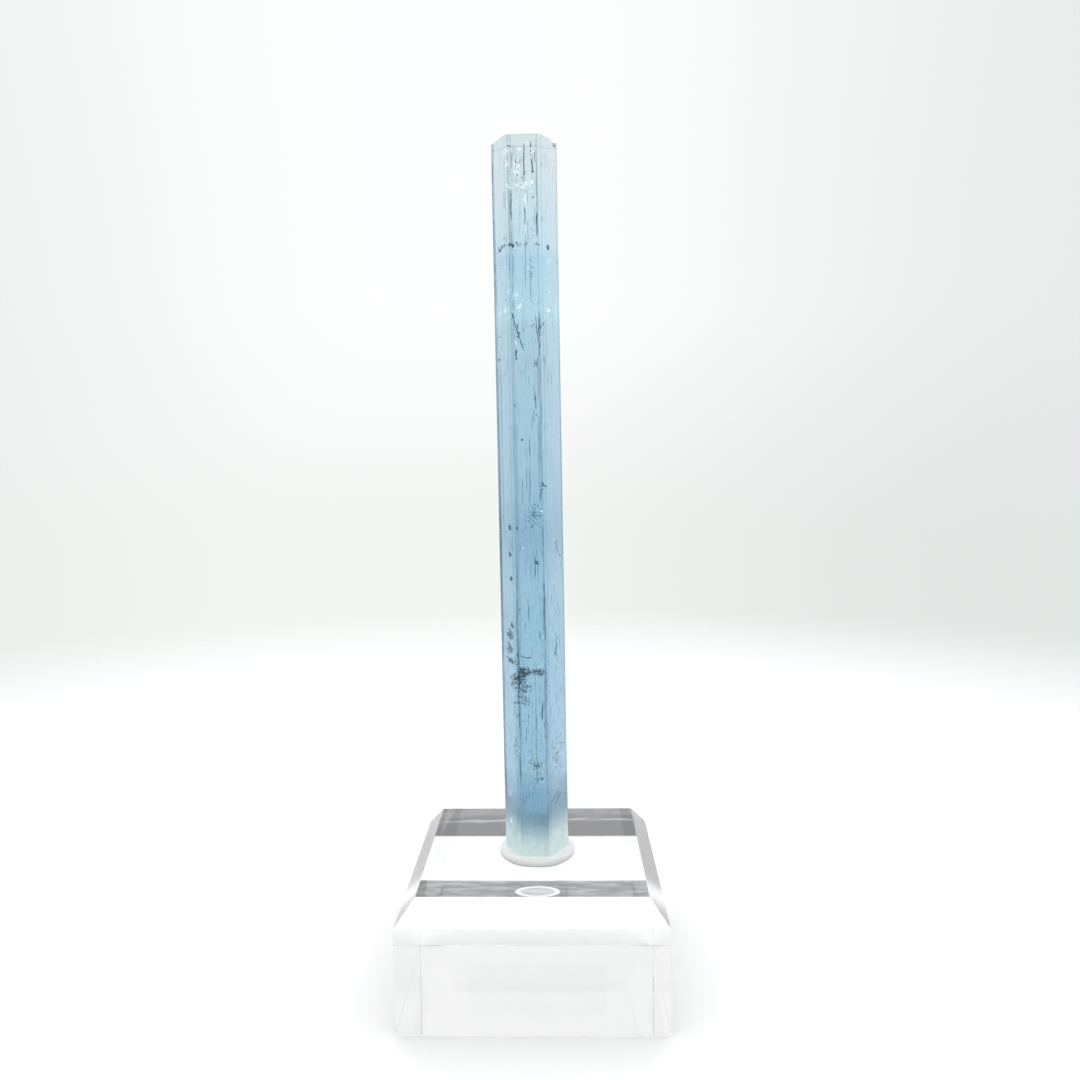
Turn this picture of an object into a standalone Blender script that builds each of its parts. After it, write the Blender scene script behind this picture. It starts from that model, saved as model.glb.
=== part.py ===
"""An aquamarine crystal standing on a clear acrylic display block.

A slim hexagonal prism of beryl stands upright in a disc of clear tack, on the top of a
bevelled block that carries a blank film label in front and a smaller one behind.
Lengths are in metres with +Z up. The origin is the middle of the block's underside, and
the block's front faces -Y.
"""

import math
import random

import bmesh
import bpy
from mathutils import Matrix, Vector

MM = 0.001
GAP = 0.3 * MM  # between pieces that touch

# Display block
BLOCK_SIDE = 40.0 * MM
BLOCK_HEIGHT = 19.5 * MM
BEVEL_WIDTH = 4.0 * MM  # across, seen from above
BEVEL_DROP = 3.5 * MM  # down the sides
ARRIS = 0.15 * MM  # the polished edges

# Disc of clear tack under the crystal's foot
TACK_X = 0.45 * MM
TACK_Y = -1.35 * MM
TACK_RADIUS = 6.3 * MM
TACK_THICKNESS = 1.15 * MM
TACK_FLOOR = 0.5 * MM  # what is left under the foot
TACK_LIP = 0.35 * MM  # how far it climbs up the crystal
TACK_STEPS = 56
POCKET_HEIGHT = 6.0 * MM  # of the cutter, past the tack's top

# Crystal
FOOT_X = 0.39 * MM
FOOT_Y = -1.67 * MM
CRYSTAL_TOP = 131.2 * MM  # above the table
CRYSTAL_YAW = math.radians(-1.9)
CRYSTAL_LEAN = math.radians(-0.47)  # towards -X
FOOT_UNEVEN = 0.12 * MM
LEDGE_RUN = 0.012  # a ledge's slope, as a share of its face

# Prism faces: azimuth in degrees, distance from the axis at the foot and at the top in
# millimetres, and how many growth ledges run along the face. The six wide faces are the
# hexagonal prism; the narrow ones between them truncate its corners.
PRISM_FACES = (
    (0, 5.10, 5.01, 0),
    (30, 4.99, 4.53, 3),
    (60, 5.00, 4.90, 0),
    (90, 4.45, 4.33, 4),
    (120, 4.92, 4.80, 0),
    (150, 4.52, 4.48, 3),
    (180, 5.04, 5.00, 0),
    (210, 4.37, 4.32, 3),
    (240, 4.97, 4.83, 0),
    (270, 4.57, 4.29, 4),
    (300, 4.62, 4.84, 0),
    (330, 3.99, 4.29, 3),
)
LEDGE_HEIGHT = (0.05 * MM, 0.13 * MM)
GROWTH_STEPS = 7  # levels along the prism where its ledges shift a little
LEDGE_SEED = 11

# Chips broken off the rim of the top face: azimuth in degrees, distance from the axis,
# depth below the top, and the chip's size
RIM_CHIPS = (
    (352.0, 4.75 * MM, 0.60 * MM, 1.1 * MM),
    (118.0, 4.80 * MM, 0.10 * MM, 0.9 * MM),
    (187.0, 4.95 * MM, 0.20 * MM, 0.6 * MM),
)

# Film labels: width, height, and the height of their middle above the table
FILM_THICKNESS = 0.2 * MM
FILM_GAP = 0.1 * MM
FRONT_FILM = (36.0 * MM, 12.0 * MM, 8.0 * MM)
BACK_FILM = (24.0 * MM, 9.0 * MM, 8.0 * MM)
FILM_CORNER = 1.0 * MM

# Colours as linear RGB
AQUA = (0.36, 0.62, 0.72, 1.0)
CLEAR_ACRYLIC = (0.94, 0.96, 0.96, 1.0)
TACK_WHITE = (0.80, 0.84, 0.82, 1.0)
CLEAR_FILM = (0.95, 0.95, 0.95, 1.0)


def start_scene():
    """An empty scene with a collection for the parts and one for the cutters."""
    for item in list(bpy.data.objects):
        bpy.data.objects.remove(item, do_unlink=True)
    parts = bpy.data.collections.new("aquamarine_crystal")
    cutters = bpy.data.collections.new("cutters")
    for collection in (parts, cutters):
        bpy.context.scene.collection.children.link(collection)
    return parts, cutters


def see_through(name, colour, roughness, ior):
    """A material that light passes through."""
    material = bpy.data.materials.new(name)
    material.use_nodes = True
    shader = material.node_tree.nodes["Principled BSDF"]
    shader.inputs["Base Color"].default_value = colour
    shader.inputs["Roughness"].default_value = roughness
    shader.inputs["IOR"].default_value = ior
    shader.inputs["Transmission Weight"].default_value = 1.0
    return material


def make_object(name, shape, collection, material=None):
    """An object of the bmesh shape."""
    mesh = bpy.data.meshes.new(name)
    shape.to_mesh(mesh)
    shape.free()
    item = bpy.data.objects.new(name, mesh)
    collection.objects.link(item)
    if material is not None:
        mesh.materials.append(material)
    return item


def cut_away(item, cutter):
    """Cut the cutter's shape out of the item."""
    cutter.hide_render = True
    cutter.display_type = "WIRE"
    cut = item.modifiers.new("cut_" + cutter.name, "BOOLEAN")
    cut.operation = "DIFFERENCE"
    cut.solver = "EXACT"
    cut.object = cutter


def display_block(parts):
    """A square block whose top edges are cut back to wide polished bevels."""
    shape = bmesh.new()
    size = Matrix.Diagonal((BLOCK_SIDE, BLOCK_SIDE, BLOCK_HEIGHT, 1.0))
    middle = Matrix.Translation((0.0, 0.0, BLOCK_HEIGHT / 2))
    bmesh.ops.create_cube(shape, size=1.0, matrix=middle @ size)
    shape.normal_update()
    top = [face for face in shape.faces if face.normal.z > 0.9]
    bmesh.ops.inset_region(shape, faces=top, thickness=BEVEL_WIDTH)
    inner = {vert for face in top for vert in face.verts}
    for vert in shape.verts:
        if vert.co.z > BLOCK_HEIGHT / 2 and vert not in inner:
            vert.co.z -= BEVEL_DROP
    block = make_object("display_block", shape, parts)
    block.data.materials.append(see_through("acrylic", CLEAR_ACRYLIC, 0.02, 1.49))
    arris = block.modifiers.new("arris", "BEVEL")
    arris.width = ARRIS
    arris.segments = 2
    arris.limit_method = "ANGLE"
    arris.angle_limit = math.radians(20)
    return block


def face_line(azimuth, distance):
    """A prism face as its outward direction and distance from the axis."""
    angle = math.radians(azimuth)
    return Vector((math.cos(angle), math.sin(angle))), distance


def meeting_point(first, second):
    """Where two face lines cross, seen along the axis."""
    (a, reach_a), (b, reach_b) = first, second
    turn = a.x * b.y - a.y * b.x
    x = (reach_a * b.y - reach_b * a.y) / turn
    y = (a.x * reach_b - b.x * reach_a) / turn
    return Vector((x, y))


def ledge_plan():
    """For each face, its ledges as (place along the face, depth of the step below it)."""
    dice = random.Random(LEDGE_SEED)
    plan = []
    for _, _, _, count in PRISM_FACES:
        ledges = []
        for i in range(count):
            place = (i + 0.7 + dice.uniform(-0.22, 0.22)) / (count + 0.4)
            depth = dice.uniform(*LEDGE_HEIGHT) if i % 2 == 0 else 0.0
            ledges.append((place, depth))
        plan.append(ledges)
    return plan


def prism_outline(share, plan, drift=0.0, grow=0.0):
    """The outline at a share of the way from foot to top, as points round the axis.

    drift moves the ledges along their faces, and grow pushes every face out.
    """
    lines = []
    for azimuth, foot, top, _ in PRISM_FACES:
        reach = (foot + (top - foot) * share) * MM + grow
        lines.append(face_line(azimuth, reach))
    corners = [meeting_point(lines[i - 1], lines[i]) for i in range(len(lines))]
    outline = []
    for i, (outward, _) in enumerate(lines):
        start = corners[i]
        run = corners[(i + 1) % len(corners)] - start
        outline.append(start)
        depth = 0.0
        for place, next_depth in plan[i]:
            for step, level in ((-LEDGE_RUN, depth), (LEDGE_RUN, next_depth)):
                outline.append(start + run * (place + drift + step) - outward * level)
            depth = next_depth
    return outline


def loft(rings):
    """A closed bmesh body through rings of equally many points, each anticlockwise."""
    shape = bmesh.new()
    loops = [[shape.verts.new(point) for point in ring] for ring in rings]
    count = len(loops[0])
    for lower, upper in zip(loops, loops[1:]):
        for i in range(count):
            j = (i + 1) % count
            shape.faces.new((lower[i], lower[j], upper[j], upper[i]))
    shape.faces.new(list(reversed(loops[0])))
    shape.faces.new(loops[-1])
    return shape


def crystal_place(height):
    """The crystal's own frame, its foot's middle at the given height."""
    move = Matrix.Translation((FOOT_X, FOOT_Y, height))
    lean = Matrix.Rotation(CRYSTAL_LEAN, 4, "Y")
    yaw = Matrix.Rotation(CRYSTAL_YAW, 4, "Z")
    return move @ lean @ yaw


def foot_height():
    """The height of the crystal's foot above the table."""
    return BLOCK_HEIGHT + GAP + TACK_FLOOR + GAP


def crystal(parts, cutters):
    """The prism: growth ledges along its faces, a flat top face and a broken foot."""
    dice = random.Random(LEDGE_SEED + 1)
    plan = ledge_plan()
    length = (CRYSTAL_TOP - foot_height()) / math.cos(CRYSTAL_LEAN)
    rings = []
    for level in range(GROWTH_STEPS + 1):
        share = level / GROWTH_STEPS
        drift = dice.uniform(-0.015, 0.015)
        outline = prism_outline(share, plan, drift)
        rings.append([point.to_3d() + Vector((0, 0, length * share)) for point in outline])
    for point in rings[0]:
        point.z += dice.uniform(0.0, FOOT_UNEVEN)
    item = make_object("crystal", loft(rings), parts)
    item.data.materials.append(see_through("aquamarine", AQUA, 0.05, 1.577))
    item.matrix_world = crystal_place(foot_height())
    for number, (azimuth, reach, depth, size) in enumerate(RIM_CHIPS):
        chip = bmesh.new()
        bmesh.ops.create_icosphere(chip, subdivisions=1, radius=size)
        angle = math.radians(azimuth)
        place = Vector((math.cos(angle) * (reach + size * 0.55),
                        math.sin(angle) * (reach + size * 0.55),
                        length + size * 0.45 - depth))
        chip.transform(Matrix.Translation(place) @ Matrix.Rotation(angle * 3, 4, "X"))
        cutter = make_object(f"rim_chip_{number}", chip, cutters)
        cutter.matrix_world = item.matrix_world
        cut_away(item, cutter)
    return item


def tack_disc(parts, cutters):
    """A pressed disc of tack with a rounded rim, climbing a little up the foot."""
    r, t = TACK_RADIUS, TACK_THICKNESS
    profile = [(0.0, t + TACK_LIP), (r * 0.80, t + TACK_LIP), (r * 0.86, t * 1.02),
               (r * 0.94, t * 0.86), (r * 0.985, t * 0.62), (r, t * 0.36),
               (r * 0.985, t * 0.12), (r * 0.955, 0.0), (0.0, 0.0)]
    shape = bmesh.new()
    verts = [shape.verts.new((x, 0.0, z)) for x, z in profile]
    for first, second in zip(verts, verts[1:]):
        shape.edges.new((first, second))
    mesh = bpy.data.meshes.new("tack_disc")
    shape.to_mesh(mesh)
    shape.free()
    item = bpy.data.objects.new("tack_disc", mesh)
    parts.objects.link(item)
    mesh.materials.append(see_through("clear_tack", TACK_WHITE, 0.35, 1.42))
    item.location = (TACK_X, TACK_Y, BLOCK_HEIGHT + GAP)
    turn = item.modifiers.new("turn", "SCREW")
    turn.axis = "Z"
    turn.steps = TACK_STEPS
    turn.render_steps = TACK_STEPS
    turn.use_merge_vertices = True
    turn.merge_threshold = 0.00001
    outline = prism_outline(0.0, ledge_plan(), 0.0, GAP)
    heights = (0.0, POCKET_HEIGHT)
    pocket = loft([[point.to_3d() + Vector((0, 0, z)) for point in outline] for z in heights])
    cutter = make_object("foot_pocket", pocket, cutters)
    cutter.matrix_world = crystal_place(BLOCK_HEIGHT + GAP + TACK_FLOOR)
    cut_away(item, cutter)
    return item


def film_label(name, film, side, parts):
    """A blank clear film with round corners, on the front (-1) or back (1) of the block."""
    width, height, middle = film
    shape = bmesh.new()
    size = Matrix.Diagonal((width, FILM_THICKNESS, height, 1.0))
    reach = BLOCK_SIDE / 2 + FILM_GAP + FILM_THICKNESS / 2
    place = Matrix.Translation((0.0, side * reach, middle))
    bmesh.ops.create_cube(shape, size=1.0, matrix=place @ size)
    corners = [edge for edge in shape.edges
               if abs(edge.verts[0].co.y - edge.verts[1].co.y) > FILM_THICKNESS / 2]
    bmesh.ops.bevel(shape, geom=corners, offset=FILM_CORNER, segments=5,
                    profile=0.5, affect="EDGES")
    return make_object(name, shape, parts, see_through(name, CLEAR_FILM, 0.1, 1.5))


def main():
    parts, cutters = start_scene()
    display_block(parts)
    tack_disc(parts, cutters)
    crystal(parts, cutters)
    film_label("front_film", FRONT_FILM, -1, parts)
    film_label("back_film", BACK_FILM, 1, parts)


main()
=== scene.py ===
"""The looks of an aquamarine crystal that stands in clear tack on an acrylic display block.

The crystal is one see-through prism with growth ledges, worn edges and a milky foot. Growth
tubes, dark specks, healed cracks and bright glints lie inside it. Lengths are in metres in
the frame's own axes: +Z up, the block's front towards -Y.
"""

import math
import random

import bmesh
import bpy
from mathutils import Matrix, Vector, noise


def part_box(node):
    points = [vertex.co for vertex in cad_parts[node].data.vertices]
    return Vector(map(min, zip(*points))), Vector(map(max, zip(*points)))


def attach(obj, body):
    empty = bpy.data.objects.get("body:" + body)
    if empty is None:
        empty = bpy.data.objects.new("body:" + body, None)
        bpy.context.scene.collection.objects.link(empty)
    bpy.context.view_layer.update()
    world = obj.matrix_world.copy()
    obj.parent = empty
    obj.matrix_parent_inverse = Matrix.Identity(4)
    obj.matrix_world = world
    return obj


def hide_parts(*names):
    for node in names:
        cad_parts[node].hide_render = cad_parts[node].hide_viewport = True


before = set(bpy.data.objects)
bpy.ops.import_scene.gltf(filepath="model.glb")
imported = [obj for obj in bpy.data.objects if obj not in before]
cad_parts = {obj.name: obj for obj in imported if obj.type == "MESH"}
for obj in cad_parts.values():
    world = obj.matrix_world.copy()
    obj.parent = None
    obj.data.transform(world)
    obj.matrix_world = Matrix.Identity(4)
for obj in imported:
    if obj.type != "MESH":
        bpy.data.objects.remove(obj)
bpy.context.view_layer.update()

MM = 0.001

# Camera, from the block's corners in the photograph's 1080-pixel frame
CAMERA_PLACE = (4.3 * MM, -146.6 * MM, 83.2 * MM)
CAMERA_YAW = math.radians(-1.15)
CAMERA_PITCH = math.radians(4.99)  # downwards
CAMERA_ROLL = math.radians(-0.57)
FOCAL_PIXELS = 920.0
PHOTO_PIXELS = 1080.0
SENSOR = 36.0

# Crystal: its place, as the solid has it
FOOT_X = 0.39 * MM
FOOT_Y = -1.67 * MM
FOOT_Z = 20.6 * MM
CRYSTAL_TOP = 131.19 * MM
CRYSTAL_YAW = math.radians(-1.9)
CRYSTAL_LEAN = math.radians(-0.47)
LENGTH = (CRYSTAL_TOP - FOOT_Z) / math.cos(CRYSTAL_LEAN)

# Prism faces: azimuth in degrees, distance from the axis at the foot and at the top in
# millimetres, how many growth ledges run along the face, and how pale its skin is. The faces
# at 300 and 330 lie up to 0.44 mm further out than the solid's.
PRISM_FACES = (
    (0, 5.1, 5.01, 0, 0.9),
    (30, 4.99, 4.53, 8, 0.7),
    (60, 5.0, 4.9, 2, 0.5),
    (90, 4.45, 4.33, 9, 0.0),
    (120, 4.92, 4.8, 1, 0.5),
    (150, 4.52, 4.48, 8, 0.7),
    (180, 5.04, 5.0, 0, 0.8),
    (210, 4.37, 4.32, 7, 0.42),
    (240, 4.97, 4.83, 1, 0.4),
    (270, 4.57, 4.29, 7, 0.0),
    (300, 5.06, 4.81, 1, 0.7),
    (330, 4.42, 4.36, 8, 0.8),
)
LEVELS = 72  # rings of points along the prism
LEDGE_DEPTH = 0.016 * MM
RISER = 0.12 * MM  # width of the step between two ledges
RISER_SHARE = 0.15  # the most that a step takes of its face
WORN_EDGE = 0.19 * MM  # width of the rounding on each side of a prism edge
OUTLINE_EDGE = 0.16 * MM  # the same beside the two faces at the sides
NARROW_EDGE = 0.08 * MM  # and on those faces
EDGE_SHARE = 0.22  # the most that a rounding takes of its face
CORNER_WEAR = 0.15  # how far an edge is worn back, as a share of WORN_EDGE
RIM_EDGE = 0.10 * MM  # width of the worn rim of the top
# How dark the painted shade along the top rim is
RIM_SHADE = 0.6
RIM_INSET = 0.95  # how far in the top lies clear, as a share of its reach
FOOT_ROUGHNESS = 0.1 * MM
EDGE_SHADE = 0.45  # how dark the painted shade along a prism edge is, but for the stretches below
# Stretches where an edge's painted shade is darker: the azimuth of the face on its far side,
# the heights in millimetres between which it is darker, and how dark
DARK_EDGES = (
    (300, 58.6, 77.5, 1.0),
    (300, 13.0, 48.0, 0.85),
    (300, 93.0, 110.0, 0.75),
    (270, 11.0, 48.0, 0.85),
    (270, 96.0, 109.0, 0.70),
    (180, 0.0, 111.0, 0.6),
    (210, 0.0, 111.0, 0.6),
    (0, 0.0, 111.0, 0.7),
    (0, 18.0, 50.0, 1.0),
    (30, 0.0, 111.0, 0.6),
)
LEDGE_SEED = 23

# Chips off the rim of the top face: azimuth, distance from the axis, depth below the top and
# size in millimetres. The first three are where the solid's own are.
RIM_CHIPS = (
    (352.0, 4.75, 0.6, 1.1),
    (118.0, 4.8, 0.05, 0.45),
    (187.0, 4.95, 0.2, 0.6),
    (318.0, 4.7, 0.05, 0.35),
    (262.0, 4.45, 0.02, 0.28),
    (228.0, 4.75, 0.04, 0.3),
    (55.0, 5.0, 0.06, 0.45),
)
CHIP_OUT = 0.55  # how far out and up its middle lies, as shares of its size
CHIP_UP = 0.45
CHIP_ROUGHNESS = 0.16
PRISM_SHARP = math.radians(14)  # edges sharper than this stay sharp

# Beryl's tint where light enters and leaves, by height above the foot in millimetres
COLOUR_ZONES = (
    (0.0, (0.85, 0.92, 0.9)),
    (4.0, (0.44, 0.66, 0.75)),
    (6.5, (0.27, 0.47, 0.59)),
    (8.0, (0.22, 0.39, 0.53)),
    (11.6, (0.25, 0.43, 0.55)),
    (12.6, (0.33, 0.51, 0.63)),
    (26.0, (0.34, 0.52, 0.64)),
    (36.0, (0.42, 0.64, 0.77)),
    (42.0, (0.5, 0.72, 0.85)),
    (51.0, (0.38, 0.59, 0.74)),
    (61.0, (0.53, 0.73, 0.85)),
    (83.0, (0.61, 0.8, 0.88)),
    (85.0, (0.68, 0.9, 0.98)),
    (94.0, (0.64, 0.85, 0.97)),
    (95.2, (0.8, 0.95, 1.0)),
    (110.6, (1.0, 1.0, 0.97)),
)
ZONE_DRIFT = 2.4 * MM  # how far the zones wander up and down
# Colour of the painted shade along the prism edges and the top rim
EDGE_SHADE_COLOUR = (0.03, 0.05, 0.07, 1.0)
PALE_COLOUR = (0.72, 0.74, 0.90, 1.0)
PALE_SHARE = 0.30
STREAK_COLOUR = (0.42, 0.56, 0.66, 1.0)
STREAK_SHARE = 0.16
CLOUD_COLOUR = (0.6, 0.72, 0.8, 1.0)
CLOUD_SHARE = 0.25
MILK_COLOUR = (0.93, 1.0, 0.96, 1.0)
MILK_SHADOW = (0.68, 0.82, 0.82, 1.0)
MILK_PAINTED_GLOW = 0.10  # painted glow, standing in for light that spreads inside the milky foot
MILK_HEIGHT = 2.7 * MM  # where the milkiness is half gone on a face that isn't pale
PALE_MILK_RISE = 2.6 * MM  # and how much higher that is on the palest
MILK_FADE = (3.2 * MM, -3.0 * MM)  # from that height, where it is quite gone, and full
MOTTLE = 0.8 * MM  # how far patches of it reach up and down
HAZE_RISE = 7.5 * MM  # from that height, where the first haze starts
PALE_HAZE_RISE = 4.5 * MM
HAZE_FULL = -1.5 * MM
HAZE_STRENGTH = 0.52  # how much of the light full haze keeps from passing through
ABSORPTION_COLOUR = (0.29, 0.72, 0.90, 1.0)
ABSORPTION_DENSITY = 40.0
BERYL_IOR = 1.577

# What lies inside the crystal, as seen from its front in its own frame, in millimetres.
# Across is to the right of the axis, height is above the foot, and inset is how far below
# the nearest front face.
# Growth tubes: across and height of the upper end, the same of the lower end, inset, radius
TUBES = (
    (0.28, 109.6, 0.18, 104.6, 1.2, 0.105),
    (1.3, 109.9, 1.22, 107.6, 1.2, 0.09),
    (1.22, 107.4, 1.55, 105.5, 1.2, 0.095),
    (-1.66, 108.4, -1.62, 105.8, 0.8, 0.06),
    (-1.78, 103.0, -1.87, 98.2, 0.9, 0.09),
    (0.25, 100.4, 0.2, 97.6, 1.2, 0.095),
    (1.75, 108.6, 1.85, 106.6, 1.0, 0.06),
    (1.98, 99.6, 1.95, 95.8, 0.7, 0.09),
    (-1.05, 107.2, -1.0, 104.0, 1.6, 0.055),
    (0.62, 98.6, 0.6, 95.2, 1.6, 0.045),
    (0.22, 97.0, 0.1, 88.0, 1.6, 0.04),
    (0.9, 94.0, 0.8, 86.0, 2.0, 0.035),
    (-1.45, 79.3, -1.5, 77.6, 0.8, 0.15),
    (1.95, 85.2, 1.9, 77.4, 1.3, 0.05),
    (1.2, 74.0, 1.2, 71.2, 0.8, 0.05),
    (1.4, 72.4, 1.38, 70.2, 0.7, 0.055),
    (0.75, 69.5, 0.75, 67.0, 0.9, 0.045),
    (0.86, 48.0, 0.72, 44.2, 1.0, 0.08),
    (1.52, 24.6, 1.45, 21.8, 0.9, 0.075),
    (-0.35, 40.2, -0.4, 37.6, 1.2, 0.05),
    (-1.0, 21.2, -1.05, 18.4, 1.1, 0.045),
    (0.6, 22.4, 0.55, 20.2, 1.3, 0.045),
    (1.5, 84.5, 1.85, 80.5, 1.2, 0.05),
    (2.3, 83.0, 2.55, 78.0, 1.2, 0.035),
    (1.05, 70.2, 1.0, 68.2, 1.5, 0.055),
    (0.3, 66.5, 0.2, 63.0, 1.8, 0.04),
    (-0.3, 61.5, -0.35, 57.6, 2.0, 0.045),
    (0.2, 62.0, 0.15, 55.0, 2.0, 0.045),
    (-0.9, 60.0, -0.92, 55.6, 1.5, 0.04),
    (1.28, 47.4, 1.17, 43.6, 1.5, 0.05),
    (-2.75, 50.6, -2.82, 47.6, 0.8, 0.035),
    (-1.95, 47.0, -1.95, 42.0, 0.8, 0.035),
    (1.35, 36.0, 1.35, 34.9, 1.0, 0.085),
    (3.28, 32.5, 3.52, 30.8, 0.8, 0.06),
    (1.6, 25.2, 1.5, 21.9, 1.0, 0.075),
    (-2.49, 18.3, -2.5, 17.2, 0.8, 0.08),
)
# Fractures drawn as bent strokes: radius, inset, then across and height of each point
STROKES = (
    (0.1, 1.0, ((-2.0, 84.9), (-1.7, 83.4), (-1.2, 81.8), (-0.3, 79.0))),
    (0.09, 0.7, ((1.7, 58.5), (2.05, 58.6), (2.45, 58.45))),
    (0.08, 0.7, ((1.8, 58.0), (2.3, 58.15))),
    (0.08, 0.7, ((2.0, 59.3), (2.15, 58.8), (2.45, 58.4))),
    (0.07, 0.7, ((2.0, 58.1), (1.85, 57.2), (1.9, 56.4))),
    (0.08, 0.4, ((3.75, 50.0), (3.85, 48.8), (4.2, 47.7), (4.55, 47.3))),
    (0.085, 0.6, ((-1.8, 32.35), (-1.2, 31.98), (-0.5, 31.9), (0.05, 32.05))),
    (0.14, 0.4, ((3.7, 34.1), (3.6, 33.2), (3.35, 31.8))),
    (0.11, 0.4, ((3.75, 34.9), (3.72, 34.2))),
    (0.115, 0.04, ((2.6, 8.8), (3.3, 9.4), (3.9, 10.2))),
    (0.105, 0.04, ((3.1, 8.1), (3.7, 9.0), (4.2, 9.8))),
    (0.04, 0.03, ((4.4, 10.2), (4.7, 11.2))),
    (0.055, 0.03, ((-1.95, 3.9), (-1.75, 3.5))),
    (0.06, 0.03, ((-1.5, 4.3), (-1.3, 4.15), (-1.2, 3.8))),
    (0.05, 0.03, ((-1.55, 3.5), (-1.35, 3.1))),
    (0.045, 0.03, ((-1.0, 4.3), (-0.85, 4.0))),
    (0.045, 0.03, ((-1.75, 2.9), (-1.6, 2.6))),
    (0.04, 0.03, ((-3.0, 3.3), (-2.8, 3.05))),
    (0.04, 0.03, ((2.3, 8.1), (2.35, 7.2))),
    (0.04, 0.03, ((2.2, 6.3), (2.3, 5.6))),
    (0.045, 0.7, ((2.9, 17.9), (3.7, 17.5), (4.6, 17.1))),
    (0.06, 0.9, ((-0.9, 15.3), (-0.1, 14.9), (0.5, 14.5), (1.2, 14.7))),
    (0.06, 0.9, ((0.5, 16.4), (0.7, 14.4), (0.5, 13.2))),
    (0.04, 0.8, ((-1.3, 49.9), (-1.05, 49.5), (-0.95, 49.1))),
    (0.04, 0.8, ((-1.3, 49.25), (-0.9, 49.65))),
    (0.045, 0.4, ((-4.3, 81.5), (-3.9, 81.6), (-3.6, 81.3))),
    (0.045, 0.5, ((-3.5, 82.0), (-3.45, 80.6), (-3.55, 79.2))),
    (0.05, 1.2, ((1.6, 81.6), (2.0, 82.3), (2.25, 83.6))),
    (0.045, 0.8, ((-3.5, 34.4), (-3.2, 33.6), (-2.8, 33.4))),
    (0.045, 0.8, ((-3.1, 34.9), (-3.15, 33.8), (-3.4, 32.9))),
    (0.045, 0.8, ((-3.3, 31.4), (-2.9, 31.0), (-2.6, 30.8))),
)
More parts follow.
